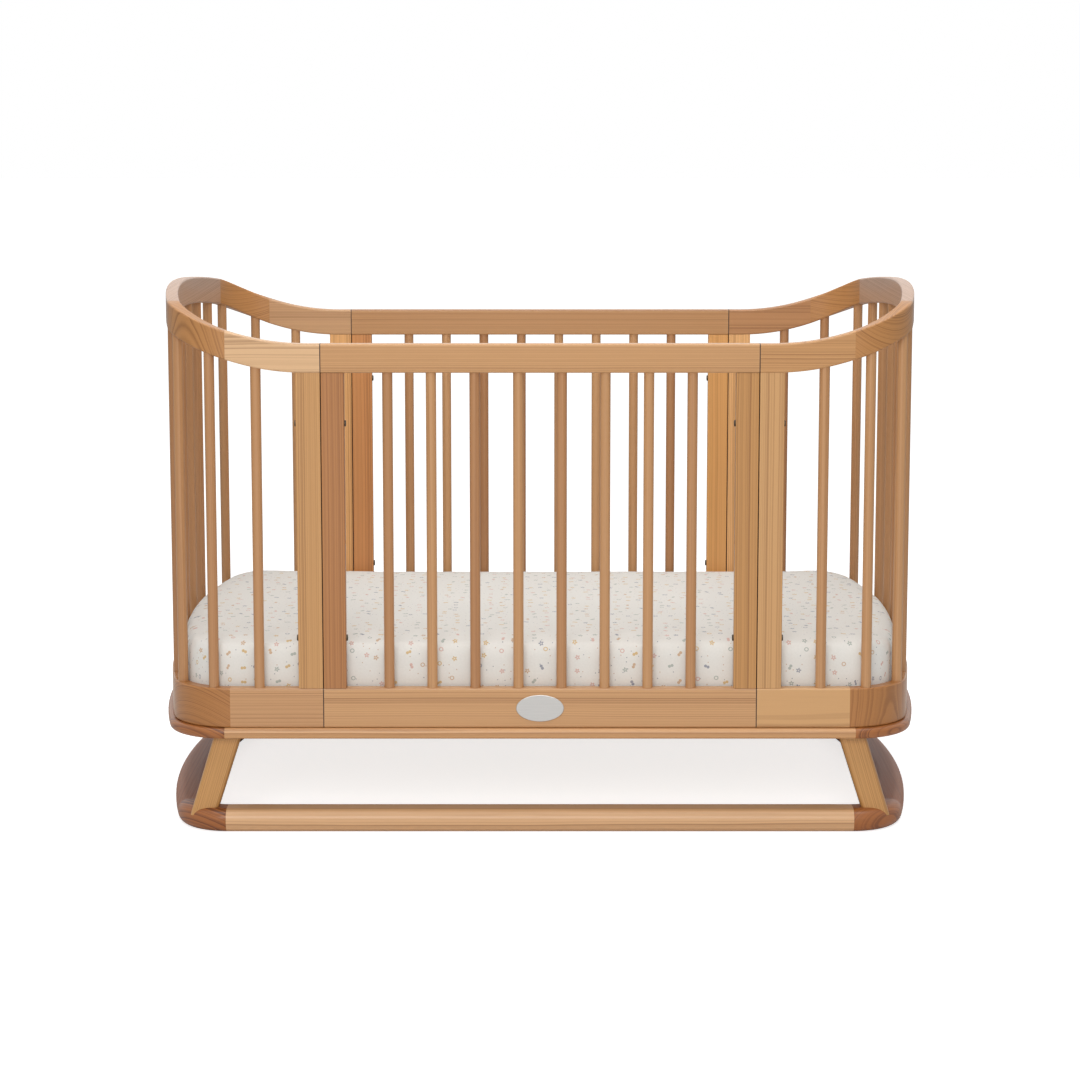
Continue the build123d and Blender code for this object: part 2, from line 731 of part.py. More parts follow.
# The left end mirrors the right end
right_hand_pieces = (
    floor_corners_right,
    floor_bow_right,
    platform_corners_right,
    platform_bow_right,
    leg_front_right,
    leg_back_right,
    bottom_arms_right,
    bottom_corners_right,
    bottom_bow_right,
    top_arms_right,
    top_corners_right,
    top_bow_right,
    end_stile_front_right,
    end_stile_back_right,
    spindles_right,
    base_end_board_right,
)
for piece in right_hand_pieces:
    with BuildPart() as left_piece:
        mirror(piece.part, about=Plane.YZ)
    left_piece.part.label = piece.part.label.replace("right", "left")
    export_step(left_piece.part, f"parts/{left_piece.part.label}.step")
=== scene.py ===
import math

import bmesh
import bpy
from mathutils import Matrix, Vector, noise


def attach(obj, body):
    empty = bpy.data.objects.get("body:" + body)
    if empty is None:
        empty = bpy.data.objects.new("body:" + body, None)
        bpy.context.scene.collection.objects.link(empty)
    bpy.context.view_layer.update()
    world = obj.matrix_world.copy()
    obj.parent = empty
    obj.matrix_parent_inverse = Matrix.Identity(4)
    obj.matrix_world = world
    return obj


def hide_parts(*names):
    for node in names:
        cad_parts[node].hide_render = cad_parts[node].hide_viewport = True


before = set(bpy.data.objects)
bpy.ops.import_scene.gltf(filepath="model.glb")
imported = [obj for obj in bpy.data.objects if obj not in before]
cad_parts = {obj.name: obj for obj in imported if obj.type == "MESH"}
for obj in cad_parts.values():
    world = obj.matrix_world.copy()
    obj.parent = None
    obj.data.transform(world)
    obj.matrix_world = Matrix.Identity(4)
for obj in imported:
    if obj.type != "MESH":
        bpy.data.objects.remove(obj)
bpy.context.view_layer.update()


# The studio: a pale floor that runs on out of sight, a wide softbox overhead, a
# broad fill behind the camera, and a camera at chest height, 4.8 metres off,
# that looks a little down on the crib.
studio = bpy.context.scene
studio.view_settings.view_transform = "Standard"

camera = bpy.data.cameras.new("camera")
camera.lens = 86.26
camera.sensor_width = 36.0
camera.sensor_fit = "HORIZONTAL"
camera.shift_y = -0.0906
camera_stand = bpy.data.objects.new("camera", camera)
camera_stand.location = (0.0, -4.795, 1.268)
camera_stand.rotation_euler = (math.radians(90.0 - 7.43), 0.0, 0.0)
studio.collection.objects.link(camera_stand)
studio.camera = camera_stand


def softbox(name, width, height, power, place, aim):
    """A rectangular lamp at a place, turned to an aim point."""
    lamp = bpy.data.lights.new(name, "AREA")
    lamp.shape = "RECTANGLE"
    lamp.size = width
    lamp.size_y = height
    lamp.energy = power
    stand = bpy.data.objects.new(name, lamp)
    stand.location = place
    stand.rotation_euler = (Vector(aim) - Vector(place)).to_track_quat("-Z", "Y").to_euler()
    studio.collection.objects.link(stand)


softbox("overhead", 3.6, 2.6, 66.0, (0.0, -0.5, 3.0), (0.0, -0.05, 0.0))
softbox("front_fill", 3.4, 2.2, 116.0, (-0.5, -5.2, 2.3), (0.0, 0.0, 0.5))


def node(tree, kind, place=(0, 0), **settings):
    """A new shader or geometry node with its settings."""
    made = tree.nodes.new(kind)
    made.location = place
    for setting, value in settings.items():
        setattr(made, setting, value)
    return made


sky = bpy.data.worlds.new("studio")
sky.use_nodes = True
sky.node_tree.nodes.clear()
ray = node(sky.node_tree, "ShaderNodeLightPath")
seen = node(sky.node_tree, "ShaderNodeMath", operation="MAXIMUM")
seen_or_clear = node(sky.node_tree, "ShaderNodeMath", operation="MAXIMUM")
room = node(sky.node_tree, "ShaderNodeBackground")
room.inputs["Color"].default_value = (0.98, 0.99, 1.0, 1.0)
room.inputs["Strength"].default_value = 0.3
backdrop = node(sky.node_tree, "ShaderNodeBackground")
backdrop.inputs["Color"].default_value = (1.0, 1.0, 1.0, 1.0)
backdrop.inputs["Strength"].default_value = 1.0
pick = node(sky.node_tree, "ShaderNodeMixShader")
out = node(sky.node_tree, "ShaderNodeOutputWorld")
sky.node_tree.links.new(ray.outputs["Is Camera Ray"], seen.inputs[0])
sky.node_tree.links.new(ray.outputs["Is Glossy Ray"], seen.inputs[1])
sky.node_tree.links.new(seen.outputs[0], seen_or_clear.inputs[0])
sky.node_tree.links.new(ray.outputs["Is Transmission Ray"], seen_or_clear.inputs[1])
sky.node_tree.links.new(seen_or_clear.outputs[0], pick.inputs["Fac"])
sky.node_tree.links.new(room.outputs[0], pick.inputs[1])
sky.node_tree.links.new(backdrop.outputs[0], pick.inputs[2])
sky.node_tree.links.new(pick.outputs[0], out.inputs["Surface"])
studio.world = sky

floor_sheet = bpy.data.meshes.new("studio_floor")
floor_sheet.from_pydata([(-40, -40, 0), (40, -40, 0), (40, 40, 0), (-40, 40, 0)], [], [(0, 1, 2, 3)])
studio_floor = bpy.data.objects.new("studio_floor", floor_sheet)
studio.collection.objects.link(studio_floor)

paper = bpy.data.materials.new("white_paper")
paper.use_nodes = True
tree = paper.node_tree
sheen = tree.nodes["Principled BSDF"]
sheen.inputs["Base Color"].default_value = (0.86, 0.86, 0.86, 1.0)
sheen.inputs["Roughness"].default_value = 0.9
sheen.inputs["Specular IOR Level"].default_value = 0.1
spot = node(tree, "ShaderNodeTexCoord")
reach = node(tree, "ShaderNodeVectorMath", operation="LENGTH")
spread = node(tree, "ShaderNodeMapRange")
spread.inputs["From Min"].default_value = 0.9
spread.inputs["From Max"].default_value = 3.5
spread.inputs["To Min"].default_value = 0.72
spread.inputs["To Max"].default_value = 0.85
ray = node(tree, "ShaderNodeLightPath")
lift = node(tree, "ShaderNodeMath", operation="MULTIPLY")
tree.links.new(spot.outputs["Object"], reach.inputs[0])
tree.links.new(reach.outputs["Value"], spread.inputs["Value"])
tree.links.new(spread.outputs["Result"], lift.inputs[0])
tree.links.new(ray.outputs["Is Camera Ray"], lift.inputs[1])
sheen.inputs["Emission Color"].default_value = (1.0, 1.0, 1.0, 1.0)
tree.links.new(lift.outputs[0], sheen.inputs["Emission Strength"])
floor_sheet.materials.append(paper)


# The floor ring: a closed hoop of pine with a fat, fully rounded section, glued up
# from two straight bars, four corner blocks sawn across the grain and two bowed
# end bars. It is sanded and has the satin lacquer of the whole crib.
def linear(red, green, blue):
    """A screen colour from 0 to 255 as the shader's linear colour."""
    levels = [value / 255.0 for value in (red, green, blue)]
    return [level / 12.92 if level <= 0.04045 else ((level + 0.055) / 1.055) ** 2.4 for level in levels] + [1.0]


pine_grain = bpy.data.node_groups.new("Pine grain", "ShaderNodeTree")
for name, kind, value in (
    ("Vector", "NodeSocketVector", (0.0, 0.0, 0.0)),
    ("Turn", "NodeSocketVector", (0.0, 0.0, 0.0)),
    ("Pith", "NodeSocketVector", (0.0, 0.03, 0.05)),
    ("Fold", "NodeSocketFloat", 0.0),
    ("Light", "NodeSocketColor", (0.6, 0.34, 0.17, 1.0)),
    ("Dark", "NodeSocketColor", (0.45, 0.23, 0.10, 1.0)),
    ("Ring Width", "NodeSocketFloat", 0.003),
    ("Waviness", "NodeSocketFloat", 0.006),
    ("Contrast", "NodeSocketFloat", 0.92),
    ("Fibre", "NodeSocketFloat", 0.34),
    ("Drift", "NodeSocketFloat", 0.2),
    ("Joint", "NodeSocketFloat", -1.0),
):
    made = pine_grain.interface.new_socket(name=name, in_out="INPUT", socket_type=kind)
    made.default_value = value
for name, kind in (("Color", "NodeSocketColor"), ("Roughness", "NodeSocketFloat"), ("Height", "NodeSocketFloat")):
    pine_grain.interface.new_socket(name=name, in_out="OUTPUT", socket_type=kind)

g = pine_grain
board = node(g, "NodeGroupInput", (-1800, 0))
whole = node(g, "ShaderNodeVectorMath", (-1600, 200), operation="ABSOLUTE")
side = node(g, "ShaderNodeVectorMath", (-1600, -50), operation="SIGN")
apart = node(g, "ShaderNodeVectorMath", (-1450, -50), operation="DOT_PRODUCT")
apart.inputs[1].default_value = (0.37, 0.71, 0.0)
jump = node(g, "ShaderNodeCombineXYZ", (-1300, -50))
folded = node(g, "ShaderNodeVectorMath", (-1150, 100), operation="ADD")
choose = node(g, "ShaderNodeMix", (-1000, 150), data_type="VECTOR")
g.links.new(board.outputs["Vector"], whole.inputs[0])
g.links.new(board.outputs["Vector"], side.inputs[0])
g.links.new(side.outputs[0], apart.inputs[0])
g.links.new(apart.outputs["Value"], jump.inputs["Z"])
g.links.new(whole.outputs[0], folded.inputs[0])
g.links.new(jump.outputs[0], folded.inputs[1])
g.links.new(board.outputs["Fold"], choose.inputs["Factor"])
g.links.new(board.outputs["Vector"], choose.inputs[4])
g.links.new(folded.outputs[0], choose.inputs[5])
sawn = node(g, "ShaderNodeMapping", (-820, 150), vector_type="POINT")
g.links.new(choose.outputs[1], sawn.inputs["Vector"])
g.links.new(board.outputs["Turn"], sawn.inputs["Rotation"])
g.links.new(board.outputs["Pith"], sawn.inputs["Location"])

slow = node(g, "ShaderNodeVectorMath", (-640, 0), operation="MULTIPLY")
slow.inputs[1].default_value = (1.6, 9.0, 9.0)
sway = node(g, "ShaderNodeTexNoise", (-480, 0))
sway.inputs["Scale"].default_value = 1.0
sway.inputs["Detail"].default_value = 3.0
level = node(g, "ShaderNodeVectorMath", (-320, 0), operation="SUBTRACT")
level.inputs[1].default_value = (0.5, 0.5, 0.5)
swing = node(g, "ShaderNodeVectorMath", (-170, 0), operation="SCALE")
bent = node(g, "ShaderNodeVectorMath", (-20, 150), operation="ADD")
g.links.new(sawn.outputs[0], slow.inputs[0])
g.links.new(slow.outputs[0], sway.inputs["Vector"])
g.links.new(sway.outputs["Color"], level.inputs[0])
g.links.new(level.outputs[0], swing.inputs[0])
g.links.new(board.outputs["Waviness"], swing.inputs["Scale"])
g.links.new(sawn.outputs[0], bent.inputs[0])
g.links.new(swing.outputs[0], bent.inputs[1])

flat = node(g, "ShaderNodeVectorMath", (130, 150), operation="MULTIPLY")
flat.inputs[1].default_value = (0.0, 1.0, 1.0)
radius = node(g, "ShaderNodeVectorMath", (280, 150), operation="LENGTH")
years = node(g, "ShaderNodeMath", (430, 150), operation="DIVIDE")
year = node(g, "ShaderNodeMath", (580, 0), operation="FLOOR")
season = node(g, "ShaderNodeMath", (580, 200), operation="FRACT")
summer = node(g, "ShaderNodeMapRange", (740, 260), interpolation_type="SMOOTHSTEP")
summer.inputs["From Min"].default_value = 0.25
summer.inputs["From Max"].default_value = 0.86
winter = node(g, "ShaderNodeMapRange", (740, 60), interpolation_type="SMOOTHSTEP")
winter.inputs["From Min"].default_value = 0.86
winter.inputs["From Max"].default_value = 1.0
winter.inputs["To Min"].default_value = 1.0
winter.inputs["To Max"].default_value = 0.0
ring = node(g, "ShaderNodeMath", (900, 200), operation="MULTIPLY")
luck = node(g, "ShaderNodeTexWhiteNoise", (740, -160), noise_dimensions="1D")
vigour = node(g, "ShaderNodeMapRange", (900, -160))
vigour.inputs["To Min"].default_value = 0.25
ring_now = node(g, "ShaderNodeMath", (1060, 100), operation="MULTIPLY")
g.links.new(bent.outputs[0], flat.inputs[0])
g.links.new(flat.outputs[0], radius.inputs[0])
g.links.new(radius.outputs["Value"], years.inputs[0])
g.links.new(board.outputs["Ring Width"], years.inputs[1])
weather = node(g, "ShaderNodeTexNoise", (500, 380), noise_dimensions="1D")
weather.inputs["Scale"].default_value = 0.55
mild = node(g, "ShaderNodeMath", (560, 380), operation="MULTIPLY_ADD")
mild.inputs[1].default_value = 3.0
g.links.new(years.outputs[0], weather.inputs["W"])
g.links.new(weather.outputs["Fac"], mild.inputs[0])
g.links.new(years.outputs[0], mild.inputs[2])
g.links.new(mild.outputs[0], year.inputs[0])
g.links.new(mild.outputs[0], season.inputs[0])
g.links.new(season.outputs[0], summer.inputs["Value"])
g.links.new(season.outputs[0], winter.inputs["Value"])
g.links.new(summer.outputs["Result"], ring.inputs[0])
g.links.new(winter.outputs["Result"], ring.inputs[1])
g.links.new(year.outputs[0], luck.inputs["W"])
g.links.new(luck.outputs["Value"], vigour.inputs["Value"])
g.links.new(ring.outputs[0], ring_now.inputs[0])
g.links.new(vigour.outputs["Result"], ring_now.inputs[1])

long_way = node(g, "ShaderNodeVectorMath", (130, -320), operation="MULTIPLY")
long_way.inputs[1].default_value = (9.0, 620.0, 620.0)
strands = node(g, "ShaderNodeTexNoise", (300, -320))
strands.inputs["Scale"].default_value = 1.0
strands.inputs["Detail"].default_value = 4.0
strands.inputs["Roughness"].default_value = 0.6
g.links.new(bent.outputs[0], long_way.inputs[0])
g.links.new(long_way.outputs[0], strands.inputs["Vector"])
cloud_way = node(g, "ShaderNodeVectorMath", (130, -560), operation="MULTIPLY")
cloud_way.inputs[1].default_value = (2.2, 26.0, 26.0)
cloud = node(g, "ShaderNodeTexNoise", (300, -560))
cloud.inputs["Scale"].default_value = 1.0
cloud.inputs["Detail"].default_value = 2.0
g.links.new(bent.outputs[0], cloud_way.inputs[0])
g.links.new(cloud_way.outputs[0], cloud.inputs["Vector"])

deep = node(g, "ShaderNodeMath", (1220, 100), operation="MULTIPLY")
fibre_level = node(g, "ShaderNodeMath", (480, -320), operation="SUBTRACT")
fibre_level.inputs[1].default_value = 0.5
fibre_now = node(g, "ShaderNodeMath", (640, -320), operation="MULTIPLY")
drift_level = node(g, "ShaderNodeMath", (480, -560), operation="SUBTRACT")
drift_level.inputs[1].default_value = 0.5
drift_now = node(g, "ShaderNodeMath", (640, -560), operation="MULTIPLY")
both = node(g, "ShaderNodeMath", (1380, 0), operation="ADD")
total = node(g, "ShaderNodeMath", (1540, 0), operation="ADD", use_clamp=True)
stain = node(g, "ShaderNodeMix", (1720, 100), data_type="RGBA")
g.links.new(ring_now.outputs[0], deep.inputs[0])
g.links.new(board.outputs["Contrast"], deep.inputs[1])
g.links.new(strands.outputs["Fac"], fibre_level.inputs[0])
g.links.new(fibre_level.outputs[0], fibre_now.inputs[0])
g.links.new(board.outputs["Fibre"], fibre_now.inputs[1])
g.links.new(cloud.outputs["Fac"], drift_level.inputs[0])
g.links.new(drift_level.outputs[0], drift_now.inputs[0])
g.links.new(board.outputs["Drift"], drift_now.inputs[1])
g.links.new(deep.outputs[0], both.inputs[0])
g.links.new(fibre_now.outputs[0], both.inputs[1])
g.links.new(both.outputs[0], total.inputs[0])
g.links.new(drift_now.outputs[0], total.inputs[1])
g.links.new(total.outputs[0], stain.inputs["Factor"])
g.links.new(board.outputs["Light"], stain.inputs[6])
g.links.new(board.outputs["Dark"], stain.inputs[7])

gloss = node(g, "ShaderNodeMapRange", (1540, -240))
gloss.inputs["To Min"].default_value = 0.36
gloss.inputs["To Max"].default_value = 0.52
g.links.new(strands.outputs["Fac"], gloss.inputs["Value"])
grown = node(g, "NodeGroupOutput", (2300, 0))

# Painted shade: within 0.9 mm of |x| = Joint the wood turns near black. This stands in for the shadow down the
# seam gap between glued pieces.
split = node(g, "ShaderNodeSeparateXYZ", (1380, 420))
reach = node(g, "ShaderNodeMath", (1540, 420), operation="ABSOLUTE")
off_joint = node(g, "ShaderNodeMath", (1700, 420), operation="SUBTRACT")
close_by = node(g, "ShaderNodeMath", (1860, 420), operation="ABSOLUTE")
seam_shade_mask = node(g, "ShaderNodeMath", (2000, 420), operation="LESS_THAN")
seam_shade_mask.inputs[1].default_value = 0.0009
painted_seam_shade = node(g, "ShaderNodeMix", (2140, 200), data_type="RGBA")
painted_seam_shade.inputs[7].default_value = (0.06, 0.03, 0.015, 1.0)
g.links.new(board.outputs["Vector"], split.inputs[0])
g.links.new(split.outputs["X"], reach.inputs[0])
g.links.new(reach.outputs[0], off_joint.inputs[0])
g.links.new(board.outputs["Joint"], off_joint.inputs[1])
g.links.new(off_joint.outputs[0], close_by.inputs[0])
g.links.new(close_by.outputs[0], seam_shade_mask.inputs[0])
g.links.new(seam_shade_mask.outputs[0], painted_seam_shade.inputs["Factor"])
g.links.new(stain.outputs[2], painted_seam_shade.inputs[6])
g.links.new(painted_seam_shade.outputs[2], grown.inputs["Color"])
g.links.new(gloss.outputs["Result"], grown.inputs["Roughness"])
g.links.new(total.outputs[0], grown.inputs["Height"])

ALONG_X = (0.0, 0.0, 0.0)
ALONG_Y = (0.0, 0.0, -math.pi / 2)
ALONG_Z = (0.0, math.pi / 2, 0.0)
ACROSS_CORNER = (0.0, 0.0, math.radians(42.0))


def late_wood(tone, depth):
    """The darker, browner colour of the rings in wood of a given tone."""
    return [tone[0] * depth, tone[1] * depth**1.25, tone[2] * depth**1.5, 1.0]


def pine(name, front, back=None, turn=ALONG_X, pith=(0.0, 0.05, 0.09), fold=0.0, depth=0.62, **values):
    """Lacquered pine for one piece; front and back are screen colours of its two halves."""
    finish = bpy.data.materials.new(name)
    finish.use_nodes = True
    tree = finish.node_tree
    lacquer = tree.nodes["Principled BSDF"]
    lacquer.inputs["Specular IOR Level"].default_value = 0.4
    lacquer.inputs["Coat Roughness"].default_value = 0.2
    lacquer.inputs["Coat Weight"].default_value = 0.35
    wood = node(tree, "ShaderNodeGroup", (-400, 0), node_tree=pine_grain)
    spot = node(tree, "ShaderNodeTexCoord", (-900, 0))
    tree.links.new(spot.outputs["Object"], wood.inputs["Vector"])
    wood.inputs["Turn"].default_value = turn
    wood.inputs["Pith"].default_value = pith
    wood.inputs["Fold"].default_value = fold
    for setting, value in values.items():
        wood.inputs[setting.replace("_", " ").title()].default_value = value
    light = linear(*front)
    wood.inputs["Light"].default_value = light
    wood.inputs["Dark"].default_value = late_wood(light, depth)
    if back:
        split = node(tree, "ShaderNodeSeparateXYZ", (-750, -200))
        behind = node(tree, "ShaderNodeMath", (-750, -350), operation="GREATER_THAN")
        behind.inputs[1].default_value = 0.0
        tree.links.new(spot.outputs["Object"], split.inputs[0])
        tree.links.new(split.outputs["Y"], behind.inputs[0])
        rear = linear(*back)
        for socket, near, far in (
            ("Light", light, rear),
            ("Dark", late_wood(light, depth), late_wood(rear, depth)),
        ):
            tone = node(tree, "ShaderNodeMix", (-600, -250), data_type="RGBA")
            tone.inputs[6].default_value = near
            tone.inputs[7].default_value = far
            tree.links.new(behind.outputs[0], tone.inputs["Factor"])
            tree.links.new(tone.outputs[2], wood.inputs[socket])
    relief = node(tree, "ShaderNodeBump", (-200, -300))
    relief.inputs["Strength"].default_value = 0.12
    relief.inputs["Distance"].default_value = 0.0006
    tree.links.new(wood.outputs["Height"], relief.inputs["Height"])
    tree.links.new(wood.outputs["Color"], lacquer.inputs["Base Color"])
    tree.links.new(wood.outputs["Roughness"], lacquer.inputs["Roughness"])
    tree.links.new(relief.outputs["Normal"], lacquer.inputs["Normal"])
    return finish


def coat(cad_node, finish):
    """Gives a CAD node's object one finish."""
    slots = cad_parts[cad_node].material_slots
    if not slots:
        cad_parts[cad_node].data.materials.append(finish)
    for place in slots:
        place.material = finish


end_grain = {
    "turn": ACROSS_CORNER, "fold": 1.0, "depth": 0.42, "ring_width": 0.0062, "contrast": 1.3, "waviness": 0.009,
}
for side in ("left", "right"):
    coat(f"floor_corners_{side}", pine(f"floor_corner_pine_{side}", (157, 93, 42), **end_grain))
    # The bows' dark brown base colour is partly the wood's own tone and partly painted shade for their
    # outward-facing faces.
    coat(f"floor_bow_{side}", pine(f"floor_bow_pine_{side}", (146, 84, 42), turn=ALONG_Y, ring_width=0.005))
    varnish = bpy.data.materials[f"floor_bow_pine_{side}"].node_tree.nodes["Principled BSDF"]
    varnish.inputs["Coat Weight"].default_value = 0.1
    varnish.inputs["Specular IOR Level"].default_value = 0.15
    varnish.inputs["Coat Roughness"].default_value = 0.12
coat("floor_bar_front", pine("floor_bar_pine_front", (214, 169, 124), pith=(0.0, 0.09, 0.12)))
coat("floor_bar_back", pine("floor_bar_pine_back", (206, 159, 114), pith=(0.3, 0.11, 0.04)))


# The legs: four slightly tapered, round-edged pine posts that lean in along the crib's
# length. Each foot is scribed to a corner block of the floor ring and bolted up through
# it, and each head is screwed from above, through the platform ring.
leg_lean = 0.29
for end, lean in (("left", -1), ("right", 1)):
    for row in ("front", "back"):
        coat(
            f"leg_{row}_{end}",
            pine(
                f"leg_pine_{row}_{end}", (197, 146, 86),
                turn=(0.0, math.pi / 2 + lean * leg_lean, 0.0), pith=(0.0, 0.06, 0.05),
            ),
        )


# The platform ring: a flat hoop of the same pine under the body, standing a little
# proud of it, with a rounded edge.
for side in ("left", "right"):
    coat(f"platform_corners_{side}", pine(f"platform_corner_pine_{side}", (160, 97, 44), **end_grain))
    coat(f"platform_bow_{side}", pine(f"platform_bow_pine_{side}", (157, 100, 57), turn=ALONG_Y))
coat("platform_bar_front", pine("platform_bar_pine_front", (203, 153, 103), pith=(0.1, 0.04, 0.13)))
coat("platform_bar_back", pine("platform_bar_pine_back", (195, 146, 97), pith=(0.5, 0.06, 0.11)))


# The bottom rail: a level band round the crib. Front and back rails belong to the
# side panels; each end has two arms, two corner blocks and a bow glued in line.
# At seam_x the rails, arms and stiles get a painted shade line for the shadow in the seam gap.
seam_x = 0.377
corner_grain = {
    "turn": ACROSS_CORNER, "fold": 1.0, "depth": 0.55, "ring_width": 0.0036, "contrast": 0.8, "waviness": 0.005,
}
coat("bottom_rail_front", pine("bottom_rail_pine_front", (199, 151, 103), pith=(0.0, 0.03, 0.21), joint=seam_x))
coat("bottom_rail_back", pine("bottom_rail_pine_back", (193, 144, 96), pith=(0.4, 0.05, 0.12), joint=seam_x))
for side, front, back in (("left", (193, 145, 99), (185, 137, 92)), ("right", (203, 156, 104), (189, 140, 94))):
    coat(f"bottom_arms_{side}", pine(f"bottom_arm_pine_{side}", front, back, fold=1.0, joint=seam_x))
    coat(f"bottom_corners_{side}", pine(f"bottom_corner_pine_{side}", (172, 115, 60), **corner_grain))
    coat(f"bottom_bow_{side}", pine(f"bottom_bow_pine_{side}", (183, 134, 92), turn=ALONG_Y))


# The stiles: eight upright pine boards, two at each seam, tenoned into the rails. The
# pair at a seam stands edge to edge, clamped by connector bolts and sleeve nuts.
upright = {"turn": ALONG_Z, "ring_width": 0.004, "joint": seam_x}
for side, panel, end in (("left", (171, 115, 65), (191, 142, 88)), ("right", (185, 134, 77), (196, 149, 97))):
    for row, pale in (("front", 1.02), ("back", 1.16)):
        panel_tone, end_tone = ([value * pale for value in tone] for tone in (panel, end))
        coat(f"panel_stile_{row}_{side}", pine(f"panel_stile_pine_{row}_{side}", panel_tone, **upright))
        coat(f"end_stile_{row}_{side}", pine(f"end_stile_pine_{row}_{side}", end_tone, **upright))


# The spindles: plain turned dowels, 18 mm thick, glued into blind sockets in the
# rails. Each is cut from its own billet, so tone and grain differ from one to the next.
dowel_tree = bpy.data.node_groups.new("Turned dowels", "GeometryNodeTree")
dowel_tree.is_modifier = True
for name, kind, value in (
    ("Geometry", "NodeSocketGeometry", None),
    ("Radius", "NodeSocketFloat", 0.009),
    ("Sides", "NodeSocketInt", 28),
    ("Tone Spread", "NodeSocketFloat", 1.0),
    ("Seed", "NodeSocketInt", 4),
    ("Finish", "NodeSocketMaterial", None),
):
    made = dowel_tree.interface.new_socket(name=name, in_out="INPUT", socket_type=kind)
    if value is not None:
        made.default_value = value
dowel_tree.interface.new_socket(name="Geometry", in_out="OUTPUT", socket_type="NodeSocketGeometry")
g = dowel_tree
given = node(g, "NodeGroupInput", (-1000, 0))
axis_lines = node(g, "GeometryNodeMeshToCurve", (-800, 0))
tone = node(g, "FunctionNodeRandomValue", (-800, -250), data_type="FLOAT")
kept = node(g, "GeometryNodeStoreNamedAttribute", (-600, 0), data_type="FLOAT", domain="CURVE")
kept.inputs["Name"].default_value = "billet"
section = node(g, "GeometryNodeCurvePrimitiveCircle", (-600, -250))
turned = node(g, "GeometryNodeCurveToMesh", (-400, 0))
smooth = node(g, "GeometryNodeSetShadeSmooth", (-200, 0))
whole = node(g, "GeometryNodeRealizeInstances", (-50, 0))
dressed = node(g, "GeometryNodeSetMaterial", (120, 0))
done = node(g, "NodeGroupOutput", (300, 0))
g.links.new(given.outputs["Geometry"], axis_lines.inputs["Mesh"])
g.links.new(given.outputs["Tone Spread"], tone.inputs[3])
g.links.new(given.outputs["Seed"], tone.inputs["Seed"])
g.links.new(axis_lines.outputs["Curve"], kept.inputs["Geometry"])
g.links.new(tone.outputs[1], kept.inputs["Value"])
g.links.new(given.outputs["Sides"], section.inputs["Resolution"])
g.links.new(given.outputs["Radius"], section.inputs["Radius"])
g.links.new(kept.outputs["Geometry"], turned.inputs["Curve"])
g.links.new(section.outputs["Curve"], turned.inputs["Profile Curve"])
turned.inputs["Fill Caps"].default_value = True
g.links.new(turned.outputs["Mesh"], smooth.inputs["Geometry"])
g.links.new(smooth.outputs["Geometry"], whole.inputs["Geometry"])
g.links.new(whole.outputs["Geometry"], dressed.inputs["Geometry"])
g.links.new(given.outputs["Finish"], dressed.inputs["Material"])
g.links.new(dressed.outputs["Geometry"], done.inputs["Geometry"])


def bake(piece):
    """Replaces a piece's modifiers by the plain mesh that they make."""
    bpy.context.view_layer.update()
    shaped = piece.evaluated_get(bpy.context.evaluated_depsgraph_get())
    mesh = bpy.data.meshes.new_from_object(shaped)
    piece.modifiers.clear()
    piece.data = mesh
    mesh.name = piece.name
    return piece


def dowel_axes(cad_node):
    """Foot and head of each dowel of a CAD node, read from its own corners."""
    found = []
    same = 0.02
    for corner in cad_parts[cad_node].data.vertices:
        near = [
            axis for axis in found
            if abs(axis[0][0] - corner.co.x) < same and abs(axis[0][1] - corner.co.y) < same
        ]
        if near:
            near[0].append(tuple(corner.co))
        else:
            found.append([tuple(corner.co)])
    ends = []
    for corners in found:
        low = [min(corner[k] for corner in corners) for k in range(3)]
        high = [max(corner[k] for corner in corners) for k in range(3)]
        x, y = (low[0] + high[0]) / 2, (low[1] + high[1]) / 2
        ends.append(((x, y, low[2]), (x, y, high[2])))
    return sorted(ends)


spindle_pine = pine(
    "spindle_pine", (188, 135, 82), turn=ALONG_Z, pith=(0.0, 0.011, 0.006), ring_width=0.0035, contrast=0.55
)
tree = spindle_pine.node_tree
wood = next(part for part in tree.nodes if part.bl_idname == "ShaderNodeGroup")
billet = node(tree, "ShaderNodeAttribute", (-1100, -200), attribute_type="GEOMETRY", attribute_name="billet")
skip = node(tree, "ShaderNodeVectorMath", (-900, -200), operation="SCALE")
skip.inputs[0].default_value = (3.1, 5.7, 9.3)
moved = node(tree, "ShaderNodeVectorMath", (-700, -100), operation="ADD")
spot = next(part for part in tree.nodes if part.bl_idname == "ShaderNodeTexCoord")
tree.links.new(billet.outputs["Fac"], skip.inputs["Scale"])
tree.links.new(spot.outputs["Object"], moved.inputs[0])
tree.links.new(skip.outputs[0], moved.inputs[1])
tree.links.new(moved.outputs[0], wood.inputs["Vector"])
for socket, pale, brown in (
    ("Light", linear(195, 147, 100), linear(172, 121, 78)),
    ("Dark", linear(164, 115, 71), linear(142, 93, 53)),
):
    shade = node(tree, "ShaderNodeMix", (-700, -400), data_type="RGBA")
    shade.inputs[6].default_value = pale
    shade.inputs[7].default_value = brown
    tree.links.new(billet.outputs["Fac"], shade.inputs["Factor"])
    tree.links.new(shade.outputs[2], wood.inputs[socket])

